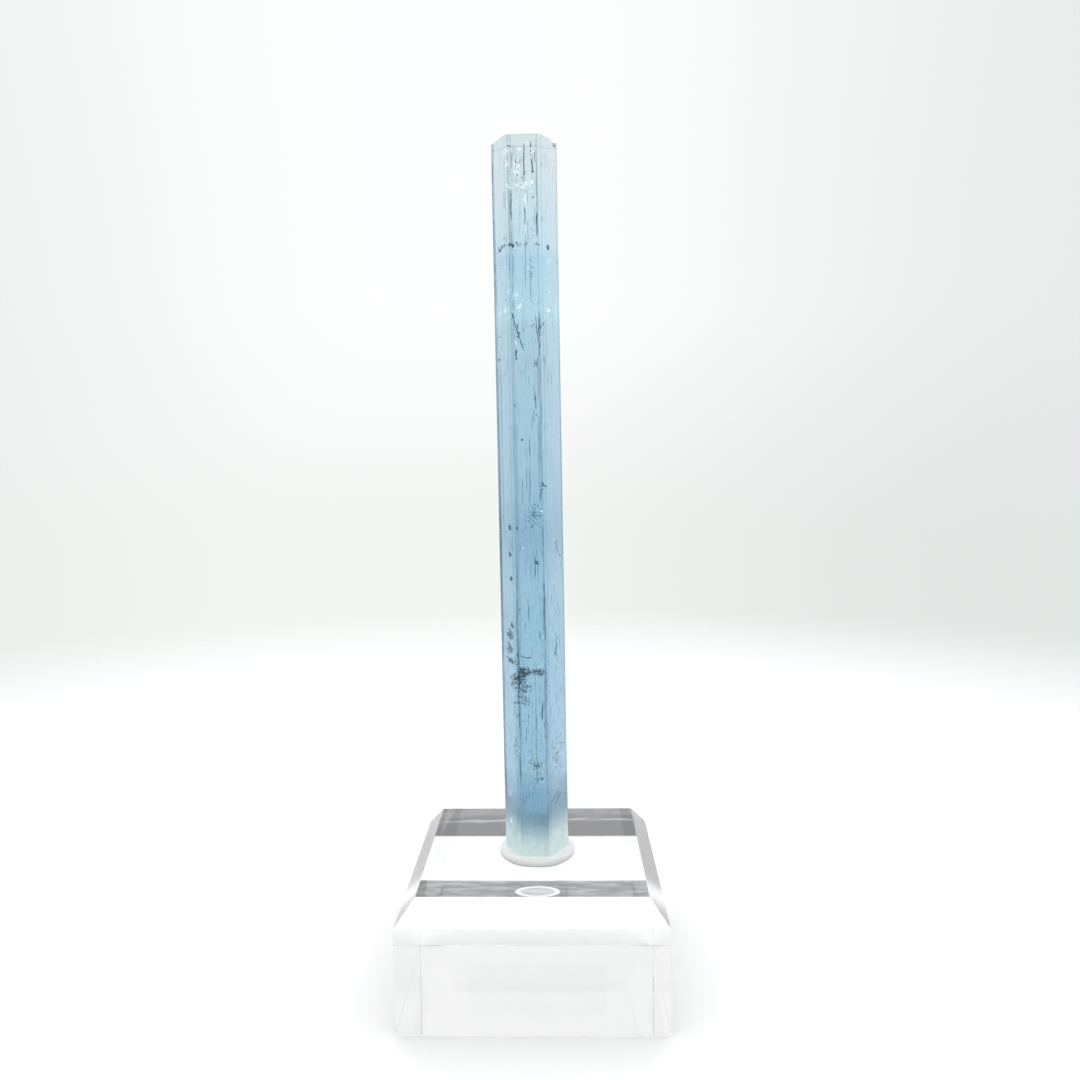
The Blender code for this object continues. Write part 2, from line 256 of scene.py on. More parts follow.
# Clouds of dark specks: middle across and height, half width and half height, inset, how
# many, size
SPECK_CLOUDS = (
    (-2.2, 94.75, 1.8, 0.35, 0.7, 34, 0.3),
    (-3.5, 94.4, 0.45, 0.4, 0.5, 14, 0.43),
    (-2.55, 95.9, 0.05, 0.1, 0.7, 1, 0.43),
    (0.3, 94.9, 0.5, 0.3, 0.8, 8, 0.2),
    (2.1, 94.7, 0.9, 0.25, 0.6, 10, 0.2),
    (3.3, 94.5, 0.3, 0.35, 0.4, 8, 0.41),
    (1.52, 105.4, 0.04, 0.1, 1.0, 2, 0.36),
    (1.5, 101.6, 0.04, 0.06, 1.0, 2, 0.32),
    (-1.9, 91.4, 0.5, 0.9, 0.8, 8, 0.18),
    (1.0, 91.0, 0.6, 1.5, 0.9, 22, 0.18),
    (0.1, 104.0, 0.5, 2.4, 1.2, 22, 0.18),
    (-0.6, 107.0, 0.9, 1.6, 1.2, 16, 0.16),
    (1.2, 96.6, 0.7, 1.6, 1.2, 14, 0.15),
    (-1.2, 82.2, 0.45, 1.8, 0.9, 36, 0.22),
    (-0.3, 80.0, 0.05, 0.1, 0.9, 1, 0.34),
    (-4.2, 78.0, 0.1, 0.3, 0.3, 5, 0.43),
    (1.3, 77.4, 0.35, 1.2, 1.1, 18, 0.2),
    (1.2, 83.0, 0.6, 1.2, 1.1, 16, 0.18),
    (-3.2, 75.6, 0.1, 0.1, 0.4, 2, 0.26),
    (-1.8, 70.8, 0.06, 0.15, 0.7, 3, 0.26),
    (1.45, 69.4, 0.05, 0.1, 1.0, 2, 0.22),
    (-0.9, 65.6, 0.25, 0.15, 0.9, 4, 0.24),
    (-2.85, 52.2, 0.2, 0.4, 0.3, 22, 0.54),
    (-1.85, 52.1, 0.08, 0.3, 0.6, 8, 0.3),
    (-0.6, 52.1, 0.1, 0.3, 0.7, 3, 0.2),
    (-2.88, 48.0, 0.1, 0.4, 0.3, 14, 0.52),
    (-2.8, 44.3, 0.18, 0.4, 0.3, 20, 0.56),
    (1.05, 46.9, 0.1, 0.6, 0.9, 16, 0.3),
    (-1.7, 39.6, 0.08, 0.2, 0.6, 4, 0.26),
    (0.9, 54.0, 1.2, 2.4, 0.9, 90, 0.21),
    (-1.1, 29.8, 1.2, 0.9, 0.6, 116, 0.28),
    (-1.7, 28.7, 1.1, 1.0, 0.6, 110, 0.27),
    (0.9, 29.6, 1.5, 0.6, 0.6, 110, 0.22),
    (-1.4, 27.4, 1.5, 1.2, 0.5, 110, 0.23),
    (-1.7, 25.4, 1.4, 1.5, 0.5, 84, 0.22),
    (-3.2, 35.4, 0.6, 0.9, 0.25, 52, 0.42),
    (-2.8, 36.8, 0.25, 0.7, 0.3, 12, 0.4),
    (-3.3, 33.2, 0.6, 1.1, 0.25, 50, 0.4),
    (-3.1, 31.2, 0.7, 0.45, 0.25, 34, 0.42),
    (-2.9, 28.0, 0.6, 1.3, 0.35, 40, 0.3),
    (-2.7, 23.8, 0.5, 1.8, 0.35, 20, 0.32),
    (-1.0, 22.0, 1.0, 2.0, 0.8, 14, 0.17),
    (-0.9, 105.8, 0.6, 1.8, 0.7, 22, 0.16),
    (-0.6, 103.2, 1.3, 0.6, 0.6, 22, 0.16),
    (-2.2, 31.6, 0.3, 1.2, 0.5, 12, 0.2),
    (3.3, 16.2, 0.8, 3.4, 0.3, 54, 0.28),
    (-2.9, 17.4, 0.8, 3.4, 0.3, 34, 0.27),
    (0.0, 17.0, 1.8, 3.6, 0.8, 70, 0.15),
    (0.2, 10.5, 1.8, 1.6, 0.8, 30, 0.15),
    (1.25, 12.6, 0.03, 0.04, 0.6, 3, 0.46),
    (0.5, 14.7, 1.1, 1.0, 0.8, 56, 0.19),
    (0.6, 12.6, 0.9, 1.0, 0.8, 36, 0.18),
    (-1.2, 9.6, 0.8, 1.2, 0.7, 14, 0.18),
    (-1.5, 3.6, 0.35, 0.5, 0.25, 16, 0.24),
    (-3.0, 3.0, 0.6, 0.5, 0.25, 12, 0.26),
    (-3.4, 6.2, 0.45, 0.9, 0.25, 14, 0.26),
)
# Clouds of bright flakes, where a crack turns the light, helped by a painted glow: the same
# numbers
GLINT_CLOUDS = (
    (3.4, 15.4, 0.8, 3.4, 0.3, 60, 0.28),
    (-3.0, 16.0, 0.8, 4.0, 0.3, 44, 0.26),
    (0.0, 16.4, 1.8, 3.8, 0.8, 50, 0.17),
    (-2.35, 108.4, 0.35, 0.6, 0.4, 14, 0.42),
    (-2.3, 106.6, 0.25, 0.5, 0.4, 7, 0.36),
    (-0.9, 105.8, 0.6, 1.8, 0.8, 84, 0.27),
    (-0.6, 103.2, 1.3, 0.6, 0.7, 52, 0.28),
    (0.3, 101.6, 0.14, 1.5, 0.7, 26, 0.34),
    (0.55, 103.6, 1.1, 1.0, 0.8, 56, 0.25),
    (1.05, 105.0, 0.4, 1.2, 0.8, 12, 0.24),
    (0.6, 109.5, 0.14, 0.2, 0.7, 4, 0.44),
    (-0.3, 108.6, 0.25, 0.25, 0.8, 6, 0.34),
    (1.45, 108.2, 0.35, 0.6, 0.8, 10, 0.28),
    (-2.1, 103.3, 0.28, 0.6, 0.4, 12, 0.32),
    (1.5, 102.4, 0.4, 0.3, 0.7, 10, 0.24),
    (0.35, 96.9, 0.12, 1.2, 0.8, 12, 0.22),
    (0.8, 99.0, 0.6, 1.6, 0.9, 16, 0.17),
    (3.55, 92.5, 0.28, 0.6, 0.3, 16, 0.38),
    (2.15, 93.6, 0.1, 0.35, 0.6, 7, 0.28),
    (1.0, 91.4, 0.7, 1.4, 0.8, 20, 0.2),
    (-0.6, 90.4, 0.7, 0.9, 0.7, 12, 0.18),
    (-1.5, 87.2, 0.7, 0.7, 0.5, 20, 0.28),
    (-2.3, 87.9, 0.3, 0.4, 0.4, 8, 0.28),
    (-0.8, 85.5, 0.45, 0.7, 0.5, 22, 0.36),
    (-2.8, 85.2, 0.45, 0.5, 0.25, 16, 0.44),
    (3.5, 87.8, 0.3, 0.6, 0.3, 12, 0.34),
    (3.2, 85.1, 0.5, 0.5, 0.3, 24, 0.4),
    (1.0, 86.3, 0.9, 0.9, 0.7, 18, 0.2),
    (-2.5, 84.0, 0.35, 0.25, 0.3, 8, 0.28),
    (-1.5, 80.2, 0.18, 0.35, 0.6, 9, 0.32),
    (-1.2, 82.5, 0.5, 1.7, 0.7, 18, 0.18),
    (2.0, 54.6, 0.3, 0.5, 0.5, 10, 0.3),
    (2.7, 53.9, 0.2, 0.3, 0.5, 6, 0.28),
    (1.0, 52.8, 0.7, 1.4, 0.7, 26, 0.2),
    (3.5, 50.6, 0.4, 0.9, 0.4, 14, 0.2),
    (-1.1, 49.4, 0.3, 0.7, 0.5, 12, 0.26),
    (3.4, 43.2, 0.5, 0.6, 0.3, 12, 0.2),
    (-3.0, 43.9, 0.12, 0.4, 0.4, 7, 0.28),
    (1.65, 35.2, 0.15, 0.3, 0.6, 6, 0.26),
    (0.2, 28.6, 1.0, 0.6, 0.6, 20, 0.22),
    (-1.8, 26.8, 1.0, 1.2, 0.6, 18, 0.2),
    (-3.4, 34.6, 0.35, 2.6, 0.3, 18, 0.2),
    (0.9, 13.4, 0.7, 1.4, 0.7, 24, 0.22),
    (3.2, 14.8, 0.7, 2.6, 0.4, 34, 0.22),
    (-3.9, 9.8, 0.12, 1.1, 0.2, 14, 0.42),
    (4.45, 12.6, 0.12, 1.2, 0.2, 9, 0.38),
    (4.45, 9.6, 0.12, 0.9, 0.2, 9, 0.38),
    (-1.4, 3.5, 0.3, 0.35, 0.2, 10, 0.26),
    (-3.2, 5.2, 0.5, 1.1, 0.2, 22, 0.28),
)
# Milky veils along healed cracks: middle across and height, inset, width, how tall
VEILS = (
    (-2.9, 85.2, 0.8, 2.4, 1.3),
    (-1.1, 85.1, 1.2, 2.2, 1.1),
    (0.9, 86.4, 1.6, 2.8, 1.8),
    (3.3, 85.2, 0.8, 2.2, 1.6),
    (-1.7, 87.0, 1.4, 2.0, 1.5),
    (-3.4, 92.6, 0.7, 1.6, 1.2),
    (3.4, 92.6, 0.6, 1.6, 1.3),
    (-1.3, 93.8, 1.2, 3.2, 0.7),
    (-0.3, 104.0, 1.6, 3.4, 3.2),
    (-2.3, 108.2, 0.6, 1.0, 1.6),
    (1.3, 80.5, 1.8, 1.2, 5.0),
    (0.9, 13.6, 1.5, 2.2, 2.2),
    (3.2, 15.5, 0.8, 1.8, 4.0),
    (-3.2, 5.0, 0.6, 1.4, 2.0),
)
# Bands of painted shade below the prism edges, dark sheets that dim what is behind them: the
# same numbers
SHADES = (
    (2.05, 29.0, 0.5, 0.46, 40.0),
    (-2.05, 27.0, 0.5, 0.4, 34.0),
    (1.8, 66.0, 0.5, 0.36, 22.0),
    (-1.98, 99.0, 0.6, 0.2, 9.0),
    (2.0, 103.0, 0.6, 0.18, 12.0),
    (-3.9, 66.0, 0.4, 0.5, 26.0),
    (0.5, 19.0, 1.6, 0.34, 16.0),
)
# Hair-thin tubes strewn through the prism, and those of them that catch the light, helped by a
# painted
# glow: how many, lowest and highest start, least and most length, least and most radius
FINE_NEEDLES = (
    (200, 2.0, 108.0, 0.7, 5.0, 0.012, 0.026),
    (150, 9.0, 40.0, 0.5, 2.4, 0.028, 0.055),
    (60, 40.0, 78.0, 0.8, 3.0, 0.022, 0.045),
    (50, 78.0, 108.0, 0.8, 4.0, 0.02, 0.04),
)
BRIGHT_NEEDLES = (
    (70, 2.0, 108.0, 0.7, 4.0, 0.014, 0.026),
    (120, 8.0, 38.0, 0.4, 2.0, 0.03, 0.06),
    (40, 78.0, 108.0, 0.6, 2.4, 0.025, 0.045),
)
NEEDLE_REACH = 4.1 * MM  # from the axis
NEEDLE_TOP = 109.5
NEEDLE_SEED = 5
CLOUD_SEED = 8
LEAST_INSET = 0.12  # of a crumb
CRACK_STEPS = 6  # bends in each stretch of a stroke
FACES_FRONT = -0.05  # a face whose outward y is below this looks towards the front

# Display block
ACRYLIC_IOR = 1.49
BEVEL_WIDTH = 4.0 * MM
BEVEL_DROP = 3.5 * MM
ARRIS = 0.08 * MM  # width of its softened edges
ARRIS_SHARP = math.radians(20)  # edges sharper than this are softened

# Label films
FILM_THICKNESS = 0.1 * MM
FILM_CORNER = 1.0 * MM
FILM_GAP = 0.015 * MM  # from the block's face

# Floor: under the block it is open, but for a dim band of painted shade that stands in for the
# turntable
FLOOR_RADIUS = 0.5
FLOOR_FADE = (0.13, 0.38)  # distances between which it fades into the backdrop
FLOOR_DROP = 0.1 * MM
UNDER_BLOCK = 19.95 * MM  # half the side of that opening
SHADE_EDGE = 3.2 * MM  # the band's back edge, as y
SHADE_FADE = (-4.5 * MM, -2.0 * MM)  # where it sets in
LENS_PLACE = (0.4 * MM, -0.5 * MM, 0.0)  # in it a painted highlight: an open ring round a half-open middle
LENS_SIZE = (4.0 * MM, 1.9 * MM, 1.0)

# Tack
TACK_IOR = 1.42
TACK_RADIUS = 6.2 * MM
TACK_STEPS = 144
TACK_RIM_SHADE = (19.58 * MM, 19.86 * MM)  # heights between which the painted shade at its rim fades away
TACK_CLEARANCE = 0.06 * MM  # from the crystal
TACK_GAP = 0.02 * MM  # from the block
# Its outline from under the rim to the pocket: share of the way out, height in millimetres
TACK_PROFILE = ((0.9, 0.0), (0.97, 0.1), (1.0, 0.34), (0.99, 0.62), (0.93, 0.86),
                (0.8, 1.02), (0.55, 1.1), (0.3, 1.14), (0.12, 1.2), (0.0, 1.26),
                (0.0, 1.2), (0.0, 0.75))
TACK_SHARP = math.radians(50)


def feed(tree, item, inputs):
    """Set a node's inputs, or link those that are sockets."""
    for key, value in inputs.items():
        if isinstance(value, bpy.types.NodeSocket):
            tree.links.new(value, item.inputs[key])
        else:
            item.inputs[key].default_value = value


def add(tree, kind, inputs=None, **settings):
    """A shader node with its settings and inputs."""
    item = tree.nodes.new("ShaderNode" + kind)
    for key, value in settings.items():
        setattr(item, key, value)
    feed(tree, item, inputs or {})
    return item


def maths(tree, operation, a, b=0.0):
    """The result of a Math node on two values or sockets."""
    return add(tree, "Math", {0: a, 1: b}, operation=operation).outputs[0]


def times(tree, a, b):
    """The product of two values or sockets."""
    return maths(tree, "MULTIPLY", a, b)


def plus(tree, a, b):
    """The sum of two values or sockets."""
    return maths(tree, "ADD", a, b)


def mix_colour(tree, factor, a, b, blend="MIX"):
    """The result of a colour Mix node."""
    item = add(tree, "Mix", {0: factor, 6: a, 7: b}, data_type="RGBA", blend_type=blend)
    return item.outputs[2]


def between(tree, value, low, high, out_low=0.0, out_high=1.0):
    """value mapped smoothly from the range low..high to out_low..out_high."""
    item = add(tree, "MapRange", {0: value, 1: low, 2: high, 3: out_low, 4: out_high},
               interpolation_type="SMOOTHSTEP")
    return item.outputs[0]


def stretched_noise(tree, place, scale, detail=3.0, roughness=0.55):
    """Noise from coordinates scaled by three numbers, in cycles a metre."""
    coords = add(tree, "VectorMath", {0: place, 1: scale}, operation="MULTIPLY").outputs[0]
    item = add(tree, "TexNoise", {"Vector": coords, "Scale": 1.0, "Detail": detail,
                                  "Roughness": roughness})
    return item.outputs[0]


def bumps(tree, height, strength, distance):
    """A surface normal that follows the height."""
    return add(tree, "Bump", {"Height": height, "Strength": strength,
                              "Distance": distance}).outputs[0]


def new_material(name):
    """A material, its node tree, its shader, and a place on the object to paint by."""
    material = bpy.data.materials.new(name)
    material.use_nodes = True
    tree = material.node_tree
    place = add(tree, "TexCoord").outputs["Object"]
    return material, tree, tree.nodes["Principled BSDF"], place


def beryl_material():
    """Clear pale blue beryl, tinted in zones along its length and striated lengthwise."""
    material, tree, shader, place = new_material("aquamarine")
    height = add(tree, "SeparateXYZ", {0: place}).outputs[2]
    drift = stretched_noise(tree, place, (260.0, 260.0, 60.0), 2.0)
    drift = times(tree, maths(tree, "SUBTRACT", drift, 0.5), ZONE_DRIFT)
    level = plus(tree, height, drift)
    ramp = add(tree, "ValToRGB", {0: maths(tree, "DIVIDE", level, LENGTH)})
    stops = ramp.color_ramp.elements
    while len(stops) < len(COLOUR_ZONES):
        stops.new(1.0)
    for stop, (start, colour) in zip(stops, COLOUR_ZONES):
        stop.position = start * MM / LENGTH
        stop.color = (*colour, 1.0)
    # Side faces are paler, towards lavender
    pale = add(tree, "Attribute", attribute_name="paleness").outputs["Fac"]
    tint = mix_colour(tree, times(tree, pale, PALE_SHARE), ramp.outputs[0], PALE_COLOUR)
    streaks = stretched_noise(tree, place, (2600.0, 2600.0, 90.0), 4.0, 0.65)
    streaks = between(tree, streaks, 0.54, 0.74)
    tint = mix_colour(tree, times(tree, streaks, STREAK_SHARE), tint, STREAK_COLOUR, "MULTIPLY")
    clouds = stretched_noise(tree, place, (420.0, 420.0, 160.0), 3.0)
    clouds = between(tree, clouds, 0.50, 0.75)
    tint = mix_colour(tree, times(tree, clouds, CLOUD_SHARE), tint, CLOUD_COLOUR, "MULTIPLY")
    # Worn edges show dark
    # Painted shade: a dark line along the prism edges and the top rim, where refraction would
    # outline them
    painted_edge_shade = add(tree, "Attribute", attribute_name="arris").outputs["Fac"]
    tint = mix_colour(tree, painted_edge_shade, tint, EDGE_SHADE_COLOUR)
    # The foot turns hazy and then milky, higher up on the pale faces
    milk_top = plus(tree, times(tree, pale, PALE_MILK_RISE), MILK_HEIGHT)
    above = maths(tree, "SUBTRACT", level, milk_top)
    mottle = stretched_noise(tree, place, (800.0, 800.0, 380.0), 2.0)
    above = plus(tree, above, times(tree, maths(tree, "SUBTRACT", mottle, 0.5), MOTTLE))
    milky = between(tree, above, *MILK_FADE)
    grain = stretched_noise(tree, place, (1100.0, 1100.0, 500.0), 4.0, 0.6)
    milk = mix_colour(tree, between(tree, grain, 0.42, 0.68), MILK_COLOUR, MILK_SHADOW)
    tint = mix_colour(tree, milky, tint, milk)
    hazy = maths(tree, "SUBTRACT", above, times(tree, pale, PALE_HAZE_RISE))
    haze = between(tree, hazy, HAZE_RISE, HAZE_FULL)
    frost = plus(tree, times(tree, haze, 0.45), times(tree, streaks, 0.05))
    # Striations
    fine = stretched_noise(tree, place, (5200.0, 5200.0, 45.0), 3.0)
    broad = stretched_noise(tree, place, (1300.0, 1300.0, 240.0), 2.0)
    relief = plus(tree, fine, times(tree, broad, 0.6))
    clear = maths(tree, "SUBTRACT", 1.0, times(tree, haze, HAZE_STRENGTH))
    # The milky foot's emission is painted glow
    feed(tree, shader, {"Base Color": tint, "Emission Color": tint,
                        "Emission Strength": times(tree, milky, MILK_PAINTED_GLOW),
                        "Transmission Weight": clear, "IOR": BERYL_IOR,
                        "Roughness": plus(tree, frost, 0.015),
                        "Normal": bumps(tree, relief, 0.13, 0.02 * MM)})
    depth = add(tree, "VolumeAbsorption", {"Color": ABSORPTION_COLOUR,
                                           "Density": ABSORPTION_DENSITY})
    feed(tree, tree.nodes["Material Output"], {"Volume": depth.outputs[0]})
    return material


def acrylic_material():
    """Water-clear cast acrylic, its slanted bevels faintly ribbed by polishing."""
    material, tree, shader, place = new_material("acrylic")
    facing = add(tree, "NewGeometry").outputs["Normal"]
    up = add(tree, "SeparateXYZ", {0: facing}).outputs[2]
    slanted = times(tree, between(tree, up, 0.45, 0.6), between(tree, up, 0.97, 0.9))
    smudge = stretched_noise(tree, place, (160.0, 160.0, 160.0), 4.0)
    smudge = between(tree, smudge, 0.5, 0.8)
    rough = plus(tree, times(tree, smudge, 0.035), times(tree, slanted, 0.22))
    ribs = stretched_noise(tree, place, (300.0, 300.0, 2600.0), 3.0)
    wave = stretched_noise(tree, place, (120.0, 120.0, 120.0), 1.0)
    relief = plus(tree, times(tree, ribs, slanted), times(tree, wave, 0.25))
    tint = mix_colour(tree, smudge, (0.99, 0.995, 0.995, 1.0), (0.97, 0.98, 0.98, 1.0))
    clear = maths(tree, "SUBTRACT", 1.0, times(tree, slanted, 0.22))
    feed(tree, shader, {"Base Color": tint, "Transmission Weight": clear, "IOR": ACRYLIC_IOR,
                        "Roughness": plus(tree, rough, 0.004),
                        "Normal": bumps(tree, relief, 0.25, 0.04 * MM)})
    return material


def tack_material():
    """Soft translucent tack, satin, with pressed dimples."""
    material, tree, shader, place = new_material("clear_tack")
    cloud = stretched_noise(tree, place, (500.0, 500.0, 700.0), 4.0)
    tint = mix_colour(tree, cloud, (0.93, 0.95, 0.94, 1.0), (0.99, 1.0, 1.0, 1.0))
    # Painted shade: a thin dark line where the rim meets the block
    height = add(tree, "SeparateXYZ", {0: place}).outputs[2]
    rim_shade = between(tree, height, TACK_RIM_SHADE[1], TACK_RIM_SHADE[0])
    tint = mix_colour(tree, rim_shade, tint, (0.42, 0.45, 0.45, 1.0))
    dimples = stretched_noise(tree, place, (700.0, 700.0, 700.0), 2.0)
    # Its glow is painted light, standing in for the light that spreads inside it
    feed(tree, shader, {"Base Color": tint, "Transmission Weight": 0.4, "IOR": TACK_IOR,
                        "Roughness": between(tree, cloud, 0.2, 0.8, 0.32, 0.42),
                        "Normal": bumps(tree, dimples, 0.05, 0.06 * MM),
                        "Emission Color": (0.95, 1.0, 0.98, 1.0), "Emission Strength": 0.08})
    return material


def film_material():
    """Clear label film, blank: a faint sheen and nothing more."""
    material, tree, shader, place = new_material("label_film")
    grain = stretched_noise(tree, place, (700.0, 700.0, 700.0), 3.0)
    feed(tree, shader, {"Base Color": (0.95, 0.96, 0.96, 1.0),
                        "Roughness": between(tree, grain, 0.3, 0.7, 0.08, 0.16),
                        "Alpha": between(tree, grain, 0.3, 0.7, 0.02, 0.035)})
    return material


def inclusion_material(name, dark, light, roughness, opacity, metallic=0.0, painted_glow=0.0,
                       gloss=0.5):
    """What fills a tube or a crack: one tone clouded with another."""
    material, tree, shader, place = new_material(name)
    cloud = stretched_noise(tree, place, (1500.0, 1500.0, 500.0), 3.0)
    tint = mix_colour(tree, between(tree, cloud, 0.35, 0.65), dark, light)
    # painted_glow is painted light: emission on a piece that is no lamp
    feed(tree, shader, {"Base Color": tint, "Emission Color": tint, "Emission Strength": painted_glow,
                        "Roughness": roughness, "Metallic": metallic, "Alpha": opacity,
                        "Specular IOR Level": gloss})
    return material


def veil_material():
    """Milkiness that comes and goes, with a faint painted glow."""
    material, tree, shader, place = new_material("veil")
    patches = stretched_noise(tree, place, (1300.0, 1300.0, 900.0), 4.0, 0.7)
    feed(tree, shader, {"Base Color": (0.93, 0.99, 1.0, 1.0), "Roughness": 0.4,
                        "Alpha": between(tree, patches, 0.42, 0.68, 0.0, 0.5),
                        "Emission Color": (0.9, 0.98, 1.0, 1.0), "Emission Strength": 0.2})
    return material


def shade_material():
    """Painted shade: dark, streaky sheets along the prism edges that dim what is behind them."""
    material, tree, shader, place = new_material("shade")
    dashes = stretched_noise(tree, place, (2600.0, 2600.0, 210.0), 4.0, 0.7)
    feed(tree, shader, {"Base Color": (0.04, 0.17, 0.28, 1.0), "Roughness": 0.6,
                        "Alpha": between(tree, dashes, 0.38, 0.68, 0.0, 0.36),
                        "Specular IOR Level": 0.0})
    return material


def make_object(name, shape, material):
    """The shape as an object in the scene, with one material."""
    mesh = bpy.data.meshes.new(name)
    shape.to_mesh(mesh)
    shape.free()
    mesh.materials.append(material)
    item = bpy.data.objects.new(name, mesh)
    bpy.context.scene.collection.objects.link(item)
    return item


def apply_modifiers(item):
    """Bake an object's modifiers into its mesh."""
    shaped = item.evaluated_get(bpy.context.evaluated_depsgraph_get())
    mesh = bpy.data.meshes.new_from_object(shaped)
    item.modifiers.clear()
    item.data = mesh


def slab(middle, size):
    """A box from its middle and its three sizes."""
    shape = bmesh.new()
    matrix = Matrix.Translation(middle) @ Matrix.Diagonal((*size, 1.0))
    bmesh.ops.create_cube(shape, size=1.0, matrix=matrix)
    return shape


def skin(shape, loops):
    """Faces between rings of points, and one over each end."""
    count = len(loops[0])
    for lower, upper in zip(loops, loops[1:]):
        for i in range(count):
            j = (i + 1) % count
            shape.faces.new((lower[i], lower[j], upper[j], upper[i]))
    shape.faces.new(list(reversed(loops[0])))
    shape.faces.new(loops[-1])


def waver(x, y, z):
    """A smooth random value between -1 and 1."""
    return noise.noise(Vector((x, y, z)))


def crystal_place():
    """The crystal's own frame, from the middle of its foot."""
    move = Matrix.Translation((FOOT_X, FOOT_Y, FOOT_Z))
    lean = Matrix.Rotation(CRYSTAL_LEAN, 4, "Y")
    yaw = Matrix.Rotation(CRYSTAL_YAW, 4, "Z")
    return move @ lean @ yaw


def prism_lines(share):
    """The prism faces at a share of the way up, as (outward direction, distance)."""
    lines = []
    for azimuth, foot, top, _, _ in PRISM_FACES:
        angle = math.radians(azimuth)
        lines.append((Vector((math.cos(angle), math.sin(angle))),
                      (foot + (top - foot) * share) * MM))
    return lines


def prism_corners(lines):
    """Where each face line crosses the one before it."""
    corners = []
    for i, (b, reach_b) in enumerate(lines):
        a, reach_a = lines[i - 1]
        turn = a.x * b.y - a.y * b.x
        corners.append(Vector(((reach_a * b.y - reach_b * a.y) / turn,
                               (a.x * reach_b - b.x * reach_a) / turn)))
    return corners


def prism_reach(share, angle):
    """Distance from the axis to the prism's surface in one direction."""
    direction = Vector((math.cos(angle), math.sin(angle)))
    return min(reach / outward.dot(direction) for outward, reach in prism_lines(share)
               if outward.dot(direction) > 0.1)


def ledge_plan():
    """For each face its ledges, as (width, depth, a seed for its waver)."""
    dice = random.Random(LEDGE_SEED)
    plan = []
    for _, _, _, count, _ in PRISM_FACES:
        plan.append([(dice.uniform(0.4, 1.6), dice.uniform(0.1, 1.0) * LEDGE_DEPTH,
                      dice.uniform(0, 99)) for _ in range(count + 1)])
    return plan


def edge_shade_at(azimuth, height):
    """How dark the painted shade along the edge before a face is at one height in millimetres.
    """
    edge_darkness = EDGE_SHADE
    for face, low, high, dark in DARK_EDGES:
        if face == azimuth and low <= height <= high:
            edge_darkness = dark
    return edge_darkness * (0.85 + 0.5 * waver(azimuth, height * 0.35, 4.0))


def edge_width(i, neighbour):
    """How wide a face's rounding is on the side of one of its neighbours."""
    if PRISM_FACES[i][0] % 180 == 0:
        return NARROW_EDGE
    if PRISM_FACES[neighbour][0] % 180 == 0:
        return OUTLINE_EDGE
    return WORN_EDGE


def ring_points(share, plan):
    """One ring round the prism, as (point, how dark its painted edge shade is, how pale it is),
    in its own frame.
    """
    lines = prism_lines(share)
    corners = prism_corners(lines)
    height = share * LENGTH / MM
    ring = []
    for i, (outward, _) in enumerate(lines):
        following = (i + 1) % len(corners)
        start, end = corners[i], corners[following]
        run = end - start
        along = run.normalized()
        bisector = (outward + lines[i - 1][0]).normalized()
        first, last = (min(edge_width(i, neighbour), EDGE_SHARE * run.length)
                       for neighbour in (i - 1, following))
        riser = min(RISER, RISER_SHARE * run.length)
        azimuth, pale = PRISM_FACES[i][0], PRISM_FACES[i][4]
        # The corner point carries the painted edge shade
        ring.append((start - bisector * WORN_EDGE * CORNER_WEAR, edge_shade_at(azimuth, height),
                     (pale + PRISM_FACES[i - 1][4]) / 2))
        ring.append((start + along * first, 0.0, pale))
        widths = [width * (1.0 + 0.5 * waver(seed, share * 2.5, 9.0))
                  for width, _, seed in plan[i]]
        depths = [depth * min(max(0.45 + 1.6 * waver(seed, share * 7.0, 0.0), 0.0), 1.0)
                  for _, depth, seed in plan[i]]
        flat = (run.length - first - last - len(widths) * riser) / sum(widths)
        place = first - riser / 2
        for width, depth, next_depth in zip(widths, depths, depths[1:]):
            place += width * flat + riser
            middle = start + along * place
            ring.append((middle - along * riser / 2 - outward * depth, 0.0, pale))
            ring.append((middle + along * riser / 2 - outward * next_depth, 0.0, pale))
        ring.append((end - along * last, 0.0, pale))
    return ring


def prism_shape():
    """The closed prism with its ledges, in the crystal's own frame."""
    plan = ledge_plan()
    dice = random.Random(LEDGE_SEED + 1)
    shape = bmesh.new()
    # The arris attribute carries the painted shade along the edges
    painted_edge_shade = shape.verts.layers.float.new("arris")
    paleness = shape.verts.layers.float.new("paleness")
    loops = []
    # Each ring's share of the way up, its scale, and how dark its painted edge shade is where
    # its edges don't say
    rings = [(level / LEVELS, 1.0, None) for level in range(LEVELS)]
    rings += [(1.0 - RIM_EDGE / LENGTH, 1.0, None), (1.0, 1.0, RIM_SHADE), (1.0, RIM_INSET, 0.0)]
    for share, scale, ring_darkness in rings:
        loop = []
        for point, edge_darkness, pale in ring_points(share, plan):
            vert = shape.verts.new((point.x * scale, point.y * scale, share * LENGTH))
            vert[painted_edge_shade] = edge_darkness if ring_darkness is None else ring_darkness
            vert[paleness] = pale
            loop.append(vert)
        loops.append(loop)
    skin(shape, loops)
    for vert in loops[0]:
        vert.co.z += dice.uniform(0.0, FOOT_ROUGHNESS)
    return shape


